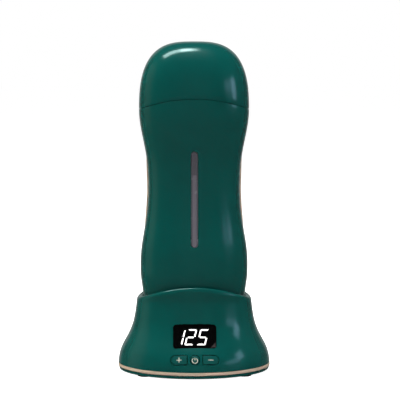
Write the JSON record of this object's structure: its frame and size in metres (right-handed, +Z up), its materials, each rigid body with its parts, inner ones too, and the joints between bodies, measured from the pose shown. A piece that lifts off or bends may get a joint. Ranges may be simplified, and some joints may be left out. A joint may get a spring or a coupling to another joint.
{
  "type": "roll on wax heater",
  "caption": "Waisted handheld wax heater with a roller cartridge and domed cap, standing in a flared base with a temperature display and keys.",
  "frame": {"origin": "centre of the footprint, on the surface that the feet stand on", "axes": "+Z up, front with the display and keys towards -Y, +X to the right seen from the front"},
  "size_m": [0.1064, 0.101, 0.2288],
  "materials": {
    "green_plastic": "satin gloss moulded plastic, dark green",
    "rose_gold": "plated, rose gold",
    "black_glass": "polished black window",
    "smoked_lens": "smoked clear plastic over rose-tinted wax",
    "key_plastic": "satin, with printed pale icons",
    "black_rubber": "matt",
    "black_plastic": "matt",
    "white_plastic": "matt",
    "green_board": "solder-masked board",
    "bright_metal": "zinc-plated",
    "contact_brass": "gold-flashed",
    "aluminium": "drawn, satin",
    "ceramic": "fired ceramic",
    "clear_bottle": "translucent moulded bottle",
    "rose_wax": "set wax",
    "lead_sleeving": "silicone sleeving"
  },
  "bodies": {
    "base": {"base_housing": "green_plastic", "trim_ring": "rose_gold", "bottom_plate": "green_plastic", "foot_1": "black_rubber", "foot_2": "black_rubber", "foot_3": "black_rubber", "foot_4": "black_rubber", "base_screw_1": "bright_metal", "base_screw_2": "bright_metal", "base_screw_3": "bright_metal", "base_screw_4": "bright_metal", "main_board": "green_board", "contact_block": "black_plastic", "dc_jack": "black_plastic", "dc_jack_pin": "bright_metal", "display_window": "black_glass", "display_module": "black_plastic", "key_board": "green_board", "ribbon_cable": "white_plastic", "switch_plus": "black_plastic", "switch_power": "black_plastic", "switch_minus": "black_plastic"},
    "key_plus": {"button_plus": "key_plastic", "plunger_plus": "black_plastic"},
    "key_power": {"button_power": "key_plastic", "plunger_power": "black_plastic"},
    "key_minus": {"button_minus": "key_plastic", "plunger_minus": "black_plastic"},
    "pin_left": {"contact_pin_left": "contact_brass"},
    "pin_right": {"contact_pin_right": "contact_brass"},
    "handheld": {"handheld_bottom": "green_plastic", "bottom_screw_front": "bright_metal", "bottom_screw_rear": "bright_metal", "contact_pad_left": "contact_brass", "contact_pad_right": "contact_brass", "front_shell": "green_plastic", "rear_shell": "green_plastic", "side_trim_left": "rose_gold", "side_trim_right": "rose_gold", "window_lens": "smoked_lens", "collar": "green_plastic", "chamber_base": "white_plastic", "heating_sleeve": "aluminium", "ptc_heater": "ceramic", "heater_clip": "bright_metal", "thermal_fuse": "ceramic", "temperature_sensor": "black_plastic", "heater_lead_left": "lead_sleeving", "heater_lead_right": "lead_sleeving"},
    "cartridge": {"cartridge_bottle": "clear_bottle", "wax": "rose_wax", "roller_head": "white_plastic"},
    "roller": {"roller": "rose_gold"},
    "cap": {"cap": "green_plastic"}
  },
  "joints": [
    {"name": "handheld_lift", "type": "slide", "parent": "base", "child": "handheld", "axis": [0, 0, 1], "range_m": [0, 0.06]},
    {"name": "cartridge_lift", "type": "slide", "parent": "handheld", "child": "cartridge", "axis": [0, 0, 1], "range_m": [0, 0.11]},
    {"name": "cap_lift", "type": "slide", "parent": "cartridge", "child": "cap", "axis": [0, 0, 1], "range_m": [0, 0.05]},
    {"name": "roller_spin", "type": "hinge", "parent": "cartridge", "child": "roller", "pos_m": [0, 0, 0.20085], "axis": [1, 0, 0], "continuous": true},
    {"name": "plus_press", "type": "slide", "parent": "base", "child": "key_plus", "axis": [0, 0.9511, -0.309], "range_m": [0, 0.0008], "stiffness_N_per_m": 800, "springref_m": -0.0005},
    {"name": "power_press", "type": "slide", "parent": "base", "child": "key_power", "axis": [0, 0.9511, -0.309], "range_m": [0, 0.0008], "stiffness_N_per_m": 800, "springref_m": -0.0005},
    {"name": "minus_press", "type": "slide", "parent": "base", "child": "key_minus", "axis": [0, 0.9511, -0.309], "range_m": [0, 0.0008], "stiffness_N_per_m": 800, "springref_m": -0.0005},
    {"name": "pin_left_press", "type": "slide", "parent": "base", "child": "pin_left", "axis": [0, 0, -1], "range_m": [0, 0.0012], "stiffness_N_per_m": 300, "springref_m": -0.001},
    {"name": "pin_right_press", "type": "slide", "parent": "base", "child": "pin_right", "axis": [0, 0, -1], "range_m": [0, 0.0012], "stiffness_N_per_m": 300, "springref_m": -0.001}
  ]
}
